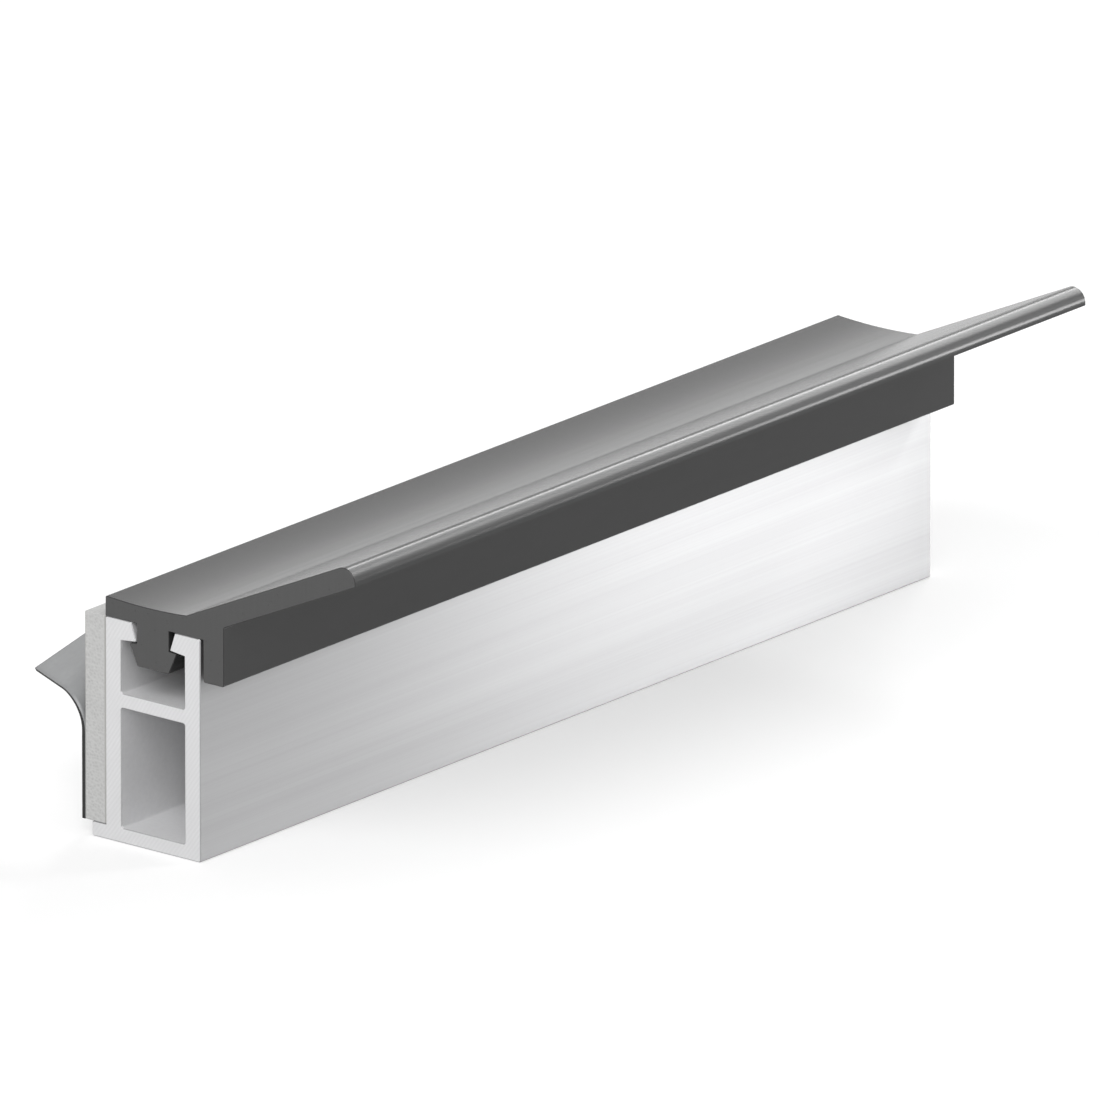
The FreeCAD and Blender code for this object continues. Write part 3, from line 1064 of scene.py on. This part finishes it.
class SEALSTRIP_OT_liner(bpy.types.Operator):
    """Makes the release liner, peeled back at one corner"""

    bl_idname = "sealstrip.liner"
    bl_label = "Add liner"

    def execute(self, context):
        size = context.scene.seal_strip.liner
        half = size.thickness / 2
        x = TAPE_LOW.x - half
        values = {
            "Middle": (x, 0, (TAPE_LOW.z + TAPE_HIGH.z) / 2),
            "Length": LENGTH,
            "Width": TAPE_HIGH.z - TAPE_LOW.z,
            "Mesh Step": size.mesh_step,
            "Fold Start": (x, TAPE_LOW.y, TAPE_LOW.z + size.peel_start),
            "Fold End": (x, TAPE_LOW.y + size.peel_run, TAPE_HIGH.z),
            "Bend Radius": size.bend_radius + half,
            "Bend": size.bend,
            "Paper": release_paper("release_paper_back", size.paper, smooth=0.5, rough=0.65),
        }
        piece = run_tree("paper_liner", bpy.data.meshes.new("flat"), peel_tree(), values)
        # The shell's other side takes the next material, and its rim the one after.
        for finish in (
            release_paper("siliconised_release_paper", size.silicone, smooth=0.28, rough=0.38),
            # The rim is near black: painted shade along the cut edge, not the paper's own colour.
            release_paper("slit_paper_edge_painted_shade", size.edge, smooth=0.7, rough=0.85),
        ):
            piece.data.materials.append(finish)
        shell = piece.modifiers.new("thickness", "SOLIDIFY")
        shell.thickness, shell.offset = size.thickness, 0
        shell.use_even_offset = True
        shell.material_offset = 1
        shell.material_offset_rim = 2
        seat(piece, "release_liner")
        return {"FINISHED"}


def area_light(name, place, target, width, depth, power):
    """A soft box that faces the target."""
    data = bpy.data.lights.new(name, "AREA")
    data.shape = "RECTANGLE"
    data.size, data.size_y, data.energy = width, depth, power
    light = bpy.data.objects.new(name, data)
    light.location = place
    light.rotation_mode = "QUATERNION"
    light.rotation_quaternion = (Vector(target) - Vector(place)).to_track_quat("-Z", "Y")
    bpy.context.scene.collection.objects.link(light)


def directly_seen(tree):
    """1 for what the camera, a reflection or a clear material sees, and 0 for what only lights."""
    path = add_node(tree, "ShaderNodeLightPath").outputs
    seen = add_node(
        tree,
        "ShaderNodeMath",
        {0: path["Is Camera Ray"], 1: path["Is Glossy Ray"]},
        operation="MAXIMUM",
    )
    return add_node(
        tree, "ShaderNodeMath", {0: seen, 1: path["Is Transmission Ray"]}, operation="MAXIMUM"
    )


def white_paper(colour, lift):
    """Matt white paper. The lift makes it plain white to the eye and keeps the shadow on it."""
    material, tree, _ = new_material("matt_white_paper")
    strength = add_node(
        tree, "ShaderNodeMath", {0: directly_seen(tree), 1: lift}, operation="MULTIPLY"
    )
    matt = add_node(tree, "ShaderNodeBsdfDiffuse", {"Color": colour})
    white = add_node(
        tree, "ShaderNodeEmission", {"Color": (1, 1, 1, 1), "Strength": strength}
    )
    both = add_node(tree, "ShaderNodeAddShader", {0: matt, 1: white})
    add_node(tree, "ShaderNodeOutputMaterial", {"Surface": both})
    return material


def white_world(fill):
    """A white room: plain white to the camera and in reflections, and softer as light."""
    world = bpy.data.worlds.new("white_room")
    world.use_nodes = True
    tree = world.node_tree
    tree.nodes.clear()
    strength = add_node(
        tree,
        "ShaderNodeMapRange",
        {"Value": directly_seen(tree), "To Min": fill, "To Max": 1.0},
    )
    background = add_node(
        tree, "ShaderNodeBackground", {"Color": (1, 1, 1, 1), "Strength": strength}
    )
    add_node(tree, "ShaderNodeOutputWorld", {"Surface": background})
    return world


class SEALSTRIP_OT_stage(bpy.types.Operator):
    """Makes the floor, the lights and the camera"""

    bl_idname = "sealstrip.stage"
    bl_label = "Add stage"

    def execute(self, context):
        settings = context.scene.seal_strip.stage
        mesh = bpy.data.meshes.new("floor")
        sides = [(-1, -1), (1, -1), (1, 1), (-1, 1)]
        corners = [(x * FLOOR_REACH, y * FLOOR_REACH, -FLOOR_DROP) for x, y in sides]
        mesh.from_pydata(corners, [], [(0, 1, 2, 3)])
        mesh.materials.append(white_paper(settings.floor, PAPER_LIFT))
        floor = bpy.data.objects.new("floor", mesh)
        context.scene.collection.objects.link(floor)
        floor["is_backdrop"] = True

        context.scene.world = white_world(ROOM_FILL)
        for lamp in LAMPS:
            area_light(*lamp)

        # The lens is long and far away, so that the picture has hardly any perspective.
        low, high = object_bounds()
        back = Vector(
            (
                math.sin(settings.azimuth) * math.cos(settings.elevation),
                -math.cos(settings.azimuth) * math.cos(settings.elevation),
                math.sin(settings.elevation),
            )
        )
        data = bpy.data.cameras.new("camera")
        data.lens = settings.lens
        distance = settings.view_width * settings.lens / data.sensor_width
        camera = bpy.data.objects.new("camera", data)
        camera.location = (low + high) / 2 + back * distance
        camera.rotation_mode = "QUATERNION"
        camera.rotation_quaternion = (-back).to_track_quat("-Z", "Y")
        data.clip_start, data.clip_end = distance * CLIP_START, distance * CLIP_END
        context.scene.collection.objects.link(camera)
        context.scene.camera = camera
        context.scene.view_settings.view_transform = "Standard"
        return {"FINISHED"}


class SEALSTRIP_PT_panel(bpy.types.Panel):
    """Lists the strip's pieces and their settings"""

    bl_idname = "SEALSTRIP_PT_panel"
    bl_label = "Seal strip"
    bl_space_type = "VIEW_3D"
    bl_region_type = "UI"
    bl_category = "Seal strip"

    def draw(self, context):
        for name in PIECES:
            settings = getattr(context.scene.seal_strip, name)
            box = self.layout.box()
            box.operator("sealstrip." + name)
            for key in settings.bl_rna.properties.keys():
                if key not in {"rna_type", "name"}:
                    box.prop(settings, key)


PIECES = ("carrier", "seal", "tape", "liner", "stage")
CLASSES = (
    SealStripCarrier,
    SealStripSeal,
    SealStripTape,
    SealStripLiner,
    SealStripStage,
    SealStrip,
    SEALSTRIP_OT_carrier,
    SEALSTRIP_OT_seal,
    SEALSTRIP_OT_tape,
    SEALSTRIP_OT_liner,
    SEALSTRIP_OT_stage,
    SEALSTRIP_PT_panel,
)


def register():
    for cls in CLASSES:
        bpy.utils.register_class(cls)
    bpy.types.Scene.seal_strip = PointerProperty(type=SealStrip)


def unregister():
    del bpy.types.Scene.seal_strip
    for cls in reversed(CLASSES):
        bpy.utils.unregister_class(cls)


def main():
    """Makes the strip and its stage."""
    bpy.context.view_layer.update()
    register()
    for name in PIECES:
        getattr(bpy.ops.sealstrip, name)()


if __name__ == "__main__":
    main()
